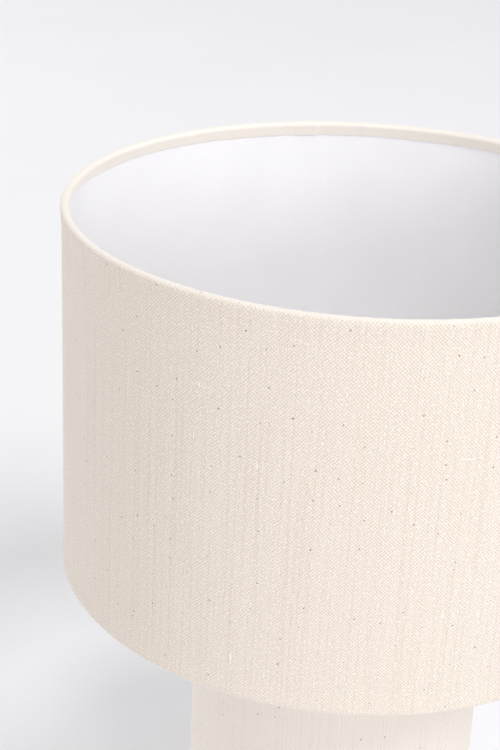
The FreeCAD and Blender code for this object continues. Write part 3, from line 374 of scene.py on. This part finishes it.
def fine_surface(name, light, dark, rough, metallic=0.0, patch=30 * MM, grain=0.8 * MM, depth=0.02 * MM,
                 stretch=(1.0, 1.0, 1.0), **sockets):
    """A plain hard finish: two close tones in patches, grain of a given size, and roughness that varies.

    A factor below 1 in stretch draws the grain out along its axis, as turning and rolling marks are, and
    one above 1 packs it closer.
    """
    material, tree = begin(name)
    place = add(tree, "TexCoord", {}, {})
    drawn = add(tree, "VectorMath", {"operation": "MULTIPLY"}, {0: place.outputs["Object"], 1: stretch})
    cloud = add(tree, "TexNoise", {}, {"Vector": place.outputs["Object"], "Scale": 1 / patch, "Detail": 3.0})
    fine = add(tree, "TexNoise", {}, {"Vector": drawn, "Scale": 1 / grain, "Detail": 3.0})
    mixed = add(tree, "Math", {"operation": "MULTIPLY_ADD"}, {0: fine, 1: 0.5, 2: cloud})
    tone = add(tree, "MapRange", {}, {"Value": mixed, "From Min": 0.5, "From Max": 1.0})
    base = add(tree, "Mix", {"data_type": "RGBA"}, {"Factor": tone, "A": colour(dark), "B": colour(light)})
    gloss = add(tree, "MapRange", {}, {"Value": mixed, "From Min": 0.5, "From Max": 1.0,
                                       "To Min": rough * 1.2, "To Max": rough * 0.85})
    bump = add(tree, "Bump", {}, {"Strength": 0.6, "Distance": depth, "Height": fine})
    shader = add(tree, "BsdfPrincipled", {}, {"Base Color": base, "Roughness": gloss, "Metallic": metallic,
                                              "Normal": bump, **sockets})
    add(tree, "OutputMaterial", {}, {"Surface": shader})
    return material


# The column's cloth, pressed onto the board: the same weave with half the relief, less chequered, and its
# tones painted paler than the shade's cloth, painted light on the column under the shade
pressed_cloth_painted_paler = woven_cloth("unbleached_cloth_pressed_painted_paler", "F0E9E2", "D5CABE", 0.5)

# Slub yarn, loosely twisted cotton: paler and softer than the cloth it is woven into
slub_yarn = fine_surface("slub_yarn_spun", "F5EFE5", "E8DFD2", 0.9, patch=4 * MM, grain=0.25 * MM,
                         depth=0.05 * MM, **{"Sheen Weight": 0.2, "Specular IOR Level": 0.2})

# What each slot of the record is finished in
finishes = {
    # styrene sheet, calendered: even, matt, cold white
    "shade_liner": fine_surface("styrene_sheet_calendered", "EEEDEF", "E9E8EA", 0.55, patch=60 * MM,
                                grain=1.2 * MM, depth=0.006 * MM),
    # powder coat on steel wire: warm white, satin, faint orange peel
    "white_wire": fine_surface("steel_powder_coated", "F0EFEA", "E8E6E0", 0.35, grain=1.5 * MM,
                               depth=0.03 * MM),
    # greyboard wound in a spiral: brown-grey, fibrous
    "board_tube": fine_surface("greyboard_wound", "A8957A", "8E7C63", 0.9, patch=15 * MM, grain=0.6 * MM,
                               depth=0.05 * MM, stretch=(1.0, 1.0, 0.3)),
    # medium-density fibreboard, sawn: even brown with short fibres
    "fibreboard": fine_surface("fibreboard_sawn", "B3946A", "9A7C55", 0.85, patch=20 * MM, grain=0.5 * MM,
                               depth=0.05 * MM),
    # pine, planed: pale yellow with grain drawn out upwards
    "softwood": fine_surface("pine_planed", "DDBE8C", "C29C66", 0.6, patch=8 * MM, grain=1.5 * MM,
                             depth=0.03 * MM, stretch=(1.0, 1.0, 0.08)),
    # hot-rolled plate, oiled: dark blue-grey scale
    "mild_steel": fine_surface("steel_plate_rolled", "7A7C80", "55565A", 0.5, metallic=1.0, patch=12 * MM,
                               stretch=(0.15, 1.0, 1.0)),
    # bright zinc plate: cool grey, soft gloss
    "zinc_steel": fine_surface("steel_zinc_plated", "C4C7CB", "A4A8AD", 0.32, metallic=1.0, patch=5 * MM,
                               grain=0.5 * MM),
    # wool felt, pressed: fuzzy grey-beige
    "felt": fine_surface("wool_felt_pressed", "BBB4A8", "A69F93", 0.95, patch=3 * MM, grain=0.5 * MM,
                         depth=0.25 * MM, **{"Sheen Weight": 0.5, "Specular IOR Level": 0.1}),
    # thermoplastic, moulded white: satin with a fine spark-eroded texture
    "holder_plastic": fine_surface("thermoplastic_moulded_white", "F1EFEA", "EAE7E1", 0.38, grain=0.35 * MM,
                                   depth=0.02 * MM, IOR=1.46),
    # phenolic, moulded: near black, dull gloss
    "switch_plastic": fine_surface("phenolic_moulded_black", "383431", "262321", 0.4, grain=0.4 * MM),
    # porcelain, glazed white: wet-looking gloss
    "holder_ceramic": fine_surface("porcelain_glazed", "F2F0EA", "ECE9E2", 0.15, grain=2 * MM,
                                   depth=0.03 * MM, **{"Coat Weight": 0.6, "Coat Roughness": 0.08}),
    # brass, turned: yellow metal with fine rings round its axis
    "brass": fine_surface("brass_turned", "D9B66B", "BD9750", 0.26, metallic=1.0, patch=8 * MM,
                          grain=0.9 * MM, stretch=(0.1, 0.1, 3.0)),
    # nickel-plated sheet, rolled: warm silver, sharp gloss, fine marks round the cap
    "lamp_cap": fine_surface("nickel_plate_rolled", "D6D4CF", "BFBDB8", 0.22, metallic=1.0, patch=6 * MM,
                             grain=0.6 * MM, stretch=(0.2, 0.2, 2.0)),
    # polycarbonate with a diffusing filler, frosted: milk white that light soaks into
    "diffuser": fine_surface("polycarbonate_frosted", "F7F6F2", "F1F0EB", 0.42, grain=0.3 * MM,
                             depth=0.01 * MM, **{"Subsurface Weight": 0.4, "Subsurface Scale": 4 * MM,
                                              "Subsurface Radius": (1.0, 0.95, 0.9)}),
    # circuit board under white solder mask: even off-white, satin
    "circuit_board": fine_surface("circuit_board_masked", "E6E6DA", "D6D6C8", 0.4),
    # phosphor gel, cured: yellow, waxy
    "led_phosphor": fine_surface("phosphor_gel_cured", "F0D04C", "E2BC38", 0.35),
}
slot_of = {part["node"]: part["material_slot"] for part in frame["record"]["subparts"]}
for node, shown in frame["nodes"].items():
    for held in shown.material_slots:
        held.material = finishes.get(slot_of[node], pressed_cloth_painted_paler)


# The shade

def shade_path():
    """The cloth's middle line, from one cut edge to the other.

    From the edge glued inside the liner it is pulled straight to the lower wire, goes round it, up the
    wall, round the upper wire and straight down to the other edge. Outside, it eases from each wire's
    wrap to the wall over the hem's reach.
    """
    wrap_radius = wire_radius + CLOTH / 2
    roll = wire_radius + CLOTH
    inside = liner_radius - LINER - CLOTH / 2
    inner = line((inside, TURNED_IN), (wire_ring - wrap_radius, roll), 14)
    hem = np.linspace(roll, HEM_REACH, 12)
    wide = np.linspace(HEM_REACH, shade_height - HEM_REACH, 30)
    height = np.concatenate([hem, wide[1:-1], shade_height - hem[::-1]])
    from_rim = np.minimum(height, shade_height - height)
    share = 1.0 - ease((from_rim - roll) / (HEM_REACH - roll))
    wall = wall_radius - CLOTH / 2
    outer = np.stack([wall + (wire_ring + wrap_radius - wall) * share, height], axis=1)
    lower = arc((wire_ring, roll), wrap_radius, 180, 360, 12)
    upper = arc((wire_ring, shade_height - roll), wrap_radius, 0, 180, 12)
    mirrored = np.stack([inner[::-1, 0], shade_height - inner[::-1, 1]], axis=1)
    return chain(inner, lower, outer, upper, mirrored)


def make_shade_cloth():
    """The shade's cloth: wall, rolled hems and the edges turned in and glued inside the liner.

    The section is thickened from its middle line and carried round the axis. It is pushed out by a slow
    ripple on the wall, by the lap of the seam, which is strained flatter on the wires, and by small
    puckers on the inner side of each hem. The turned edges wander up and down as hand-cut ones do.
    """
    path = shade_path()
    section, normal, length = thicken(path, CLOTH)
    angles = seam_angles(SHADE_SEAM)
    height = section[:, 1, None]
    from_rim = np.minimum(height, shade_height - height)
    inside = (section[:, 0, None] < liner_radius - LINER / 2) & (from_rim < TURNED_IN + LINER)
    on_wall = np.where(inside, 0.0, ease(from_rim / HEM_REACH))
    pucker = ripple(angles, height, seed=23, counts=[71, 97, 131], size=0.16 * MM)
    push = (shade_ripple(angles, height) * on_wall
            + lap(angles, SHADE_SEAM, SHADE_LAP_DEGREES, CLOTH) * (0.6 + 0.4 * on_wall)
            + pucker * np.where(inside, 1.0, 0.0))
    cut = ripple(angles, 0.0, seed=31, counts=[7, 19, 43, 89], size=0.35 * MM)
    edge = np.where(inside, ease(from_rim / TURNED_IN), 0.0)
    lift = cut * edge * np.sign(shade_height / 2 - height)
    points = wrap(section + [0.0, shade_foot], normal, push, lift, angles)
    mesh = surface("shade_cloth", points, cloth_places(angles, wall_radius, length))
    # the cloth as woven: its full relief and contrast
    cloth = woven_cloth("unbleached_cloth_woven", "EBE2D9", "CBBEB0", 1.0, strip=float(length.max()))
    piece = add_piece("shade_cloth", mesh, cloth, "shade", ["shade_fabric"])


def make_shade_lining():
    """The stiff white sheet inside the cloth: a thin tube, with the faint step where its ends lap.

    Half way up it follows the cloth's ripple, and it is rounder towards both rims.
    """
    ahead, lap_degrees, lap_step = math.radians(2.5), 3.5, 0.12 * MM
    calm = 8 * HEM_REACH
    low, high = (corner.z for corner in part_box("shade_liner"))
    path = line((liner_radius - LINER / 2, low), (liner_radius - LINER / 2, high), 30)
    section, normal, _ = thicken(path, LINER)
    angles = seam_angles(SHADE_SEAM - ahead)
    height = section[:, 1, None] - shade_foot
    from_rim = np.minimum(height, shade_height - height)
    step = -lap(angles, angles[0], lap_degrees, lap_step)
    push = step + shade_ripple(angles, height) * ease(from_rim / calm)
    mesh = surface("shade_lining", wrap(section, normal, push, 0.0, angles))
    add_piece("shade_lining", mesh, finishes["shade_liner"], "shade", ["shade_liner"])


def make_slubs(name, body, radius, low, high, uneven, count, seed):
    """Thick places in the yarn that stand out of the cloth.

    Each is a spindle: its half width is the square root of a half sine along its length, its section is
    an ellipse half sunk in the cloth, and it runs up the cloth or, one time in five, round it. uneven
    gives how far the cloth stands out at an angle and a height.
    """
    flatness, sunk = 0.45, 0.02 * MM
    draw = np.random.default_rng(seed)
    spread = (count, 1, 1)
    angle = draw.uniform(0.0, TURN, spread)
    middle = draw.uniform(low, high, spread)
    long = 2.5 * MM + 7.0 * MM * draw.random(spread) ** 2
    half = draw.uniform(0.24, 0.4, spread) * MM
    upright = draw.random(spread) < 0.8
    lean = draw.normal(0.0, 0.02, spread)
    share = np.linspace(0.0, 1.0, 11)[None, :, None]
    turn = np.linspace(0.0, TURN, 8, endpoint=False)[None, None, :]
    girth = half * np.sqrt(np.sin(math.pi * share))
    along = (share - 0.5) * long
    aside = girth * np.cos(turn) + lean * along
    round_angle = angle + np.where(upright, aside, along) / radius
    height = middle + np.where(upright, along, aside)
    out = radius + uneven(round_angle, height) + flatness * girth * np.sin(turn) - sunk
    points = np.stack([out * np.cos(round_angle), out * np.sin(round_angle), height], axis=-1)
    mesh = surface(name, points, closed_rows=False, sharp=math.pi)
    add_piece(name, mesh, slub_yarn, body)


make_shade_cloth()
make_shade_lining()
make_slubs("shade_slubs", "shade", wall_radius, shade_foot + SLUB_FREE,
           shade_foot + shade_height - SLUB_FREE,
           lambda angles, heights: shade_ripple(angles, heights - shade_foot), count=60, seed=5)


# The column

def column_path():
    """The cloth's middle line: out along the underside, round the foot, up the wall, over the rim and in."""
    half = CLOTH / 2
    fold = column_radius - FOLD
    corner = column_radius - EDGE_ROUND
    bend = EDGE_ROUND - half
    return chain(
        line((fold, column_foot + half), (corner, column_foot + half), 10),
        arc((corner, column_foot + EDGE_ROUND), bend, -90, 0, 6),
        line((column_radius - half, column_foot + EDGE_ROUND),
             (column_radius - half, column_top - EDGE_ROUND), 30),
        arc((corner, column_top - EDGE_ROUND), bend, 0, 90, 6),
        line((corner, column_top - half), (fold, column_top - half), 10))


def column_ripple(angles, heights):
    """The column wall's unevenness, which its raised threads follow too."""
    return ripple(angles, heights, seed=41, counts=[2, 7, 11, 19], size=0.12 * MM)


def make_column_cloth():
    """The column's cloth, folded over both ends, where it gathers in small pleats towards the axis."""
    section, normal, length = thicken(column_path(), CLOTH)
    angles = seam_angles(COLUMN_SEAM)
    height = section[:, 1, None]
    inward = ease((column_radius - EDGE_ROUND - section[:, 0, None]) / FOLD)
    wall = 1.0 - ease((column_radius - section[:, 0, None]) / EDGE_ROUND)
    pleats = ripple(angles, 0.0, seed=47, counts=[58, 83, 115], size=0.35 * MM)
    drawn_in = 0.15 * MM
    overlap = lap(angles, COLUMN_SEAM, COLUMN_LAP_DEGREES, COLUMN_LAP_STEP)
    push = (pleats - drawn_in) * inward + (overlap + column_ripple(angles, height)) * wall
    points = wrap(section, normal, push, 0.0, angles)
    mesh = surface("column_cloth", points, cloth_places(angles, column_radius, length))
    piece = add_piece("column_cloth", mesh, pressed_cloth_painted_paler, "lamp_base", ["column_fabric"])


def disc_points(inner, outer, low, high, rounding):
    """A flat disc: its section runs out along the underside, round a small edge and back along the top.

    Its edge strays by up to HAND_CUT, and points nearer the axis by less, in proportion to their radius.
    """
    section = chain(line((inner, low), (outer - rounding, low), 12),
                    arc((outer - rounding, low + rounding), rounding, -90, 0, 3),
                    line((outer, low + rounding), (outer, high - rounding), 2),
                    arc((outer - rounding, high - rounding), rounding, 0, 90, 3),
                    line((outer - rounding, high), (inner, high), 12))
    angles = np.linspace(0.0, TURN, DISC_STEPS, endpoint=False)
    push = ripple(angles, 0.0, seed=53, counts=[13, 29, 61], size=HAND_CUT)
    outwards = section * [1.0 / outer, 0.0]
    return wrap(section, outwards, push, 0.0, angles)


def flat_places(points):
    """Where each point of a closed grid lies on flat cloth: its own x and y."""
    wrapped = np.concatenate([points, points[:1]])
    return np.concatenate([wrapped, wrapped[:, :1]], axis=1)[..., :2]


def make_top_cloth():
    """The cloth disc on the column's top, cut by hand, with a hole for the nipple."""
    low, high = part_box("top_cloth")
    inner = reach("threaded_nipple") + 0.05 * MM
    points = disc_points(inner, high.x, low.z, high.z, 0.2 * MM)
    mesh = surface("top_cloth_disc", points, flat_places(points))
    piece = add_piece("top_cloth_disc", mesh, pressed_cloth_painted_paler, "lamp_base", ["top_cloth"])


def make_felt():
    """The felt pad under the column, with softened edges."""
    low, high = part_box("felt_pad")
    points = disc_points(0.0, high.x, low.z, high.z, 0.6 * MM)
    mesh = surface("felt_disc", points, closed_rows=False)
    piece = add_piece("felt_disc", mesh, finishes["felt"], "lamp_base", ["felt_pad"])


make_column_cloth()
make_top_cloth()
make_felt()
make_slubs("column_slubs", "lamp_base", column_radius, column_foot + SLUB_FREE, column_top - SLUB_FREE,
           column_ripple, count=30, seed=7)


# Floor, light and camera

def make_floor():
    """A pale paper floor, far larger than the view."""
    half = 80.0
    corners = [(x * half, y * half, 0.0) for x, y in ((-1, -1), (1, -1), (1, 1), (-1, 1))]
    mesh = bpy.data.meshes.new("floor")
    mesh.from_pydata(corners, [], [(0, 1, 2, 3)])
    # studio paper, uncoated: near white, dead matt
    mesh.materials.append(fine_surface("paper_matt_white", "F3F3F5", "F0F0F2", 0.85, patch=300 * MM,
                                       grain=3 * MM, depth=0.02 * MM))
    floor = bpy.data.objects.new("floor", mesh)
    bpy.context.scene.collection.objects.link(floor)


def add_lamp(name, turn, tilt, distance, width, height, power, tint):
    """An upright soft light that looks at the shade's middle, from a turn to the right and a tilt up.

    The turn is from straight in front and the tilt from level, both in degrees. Its distance, width and
    height are metres and its power is watts.
    """
    centre = Vector((0.0, 0.0, shade_foot + shade_height / 2))
    turn, tilt = math.radians(turn), math.radians(tilt)
    way = Vector((math.sin(turn) * math.cos(tilt), -math.cos(turn) * math.cos(tilt), math.sin(tilt)))
    light = bpy.data.lights.new(name, "AREA")
    light.shape = "RECTANGLE"
    light.size = width
    light.size_y = height
    light.energy = power
    light.color = colour(tint)[:3]
    lamp = bpy.data.objects.new(name, light)
    lamp.location = centre + way * distance
    lamp.rotation_euler = way.to_track_quat("Z", "Y").to_euler()
    bpy.context.scene.collection.objects.link(lamp)


def make_world():
    """Light from all round, as in a white room: brightest level with the lamp and dimmer overhead."""
    world = bpy.data.worlds.new("studio")
    world.use_nodes = True
    tree = world.node_tree
    tree.nodes.clear()
    place = add(tree, "TexCoord", {}, {})
    way = add(tree, "SeparateXYZ", {}, {0: place.outputs["Generated"]})
    level = add(tree, "MapRange", {}, {"Value": way.outputs["Z"], "To Min": 1.16, "To Max": 0.54})
    sky = add(tree, "Background", {}, {"Color": colour("FDFDFF"), "Strength": level})
    add(tree, "OutputWorld", {}, {"Surface": sky})
    bpy.context.scene.world = world


def make_camera():
    """A long lens in front of the shade and above it, looking down, a little left and slightly tipped.

    Its place is in shade radii: in front of the axis, and above the shade's foot.
    """
    in_front, above = 5.068, 2.952
    turn, tilt, roll = math.radians(-4.10), math.radians(24.33), math.radians(2.60)
    ahead = Vector((math.sin(turn) * math.cos(tilt), math.cos(turn) * math.cos(tilt), -math.sin(tilt)))
    right = Vector((math.cos(turn), -math.sin(turn), 0.0))
    over = right.cross(ahead)
    across = right * math.cos(roll) + over * math.sin(roll)
    upwards = over * math.cos(roll) - right * math.sin(roll)
    axes = Matrix((across, upwards, -ahead)).transposed()
    lens = bpy.data.cameras.new("camera")
    lens.lens = 77.9
    lens.sensor_width = 36.0
    camera = bpy.data.objects.new("camera", lens)
    place = Vector((0.0, -in_front * shade_radius, shade_foot + above * shade_radius))
    camera.matrix_world = Matrix.Translation(place) @ axes.to_4x4()
    bpy.context.scene.collection.objects.link(camera)
    bpy.context.scene.camera = camera


make_floor()
make_world()
# a high key light at the right, a low fill that reaches the column, and an edge light from behind left
add_lamp("key", turn=42.0, tilt=50.0, distance=7.0, width=2.4, height=2.4, power=200.0, tint="FEFEFF")
add_lamp("fill", turn=30.0, tilt=12.0, distance=5.0, width=1.4, height=1.0, power=46.0, tint="FCFEFF")
add_lamp("edge", turn=-125.0, tilt=8.0, distance=4.0, width=1.0, height=1.0, power=26.0, tint="FFFFFB")
make_camera()
bpy.context.scene.view_settings.view_transform = "Standard"
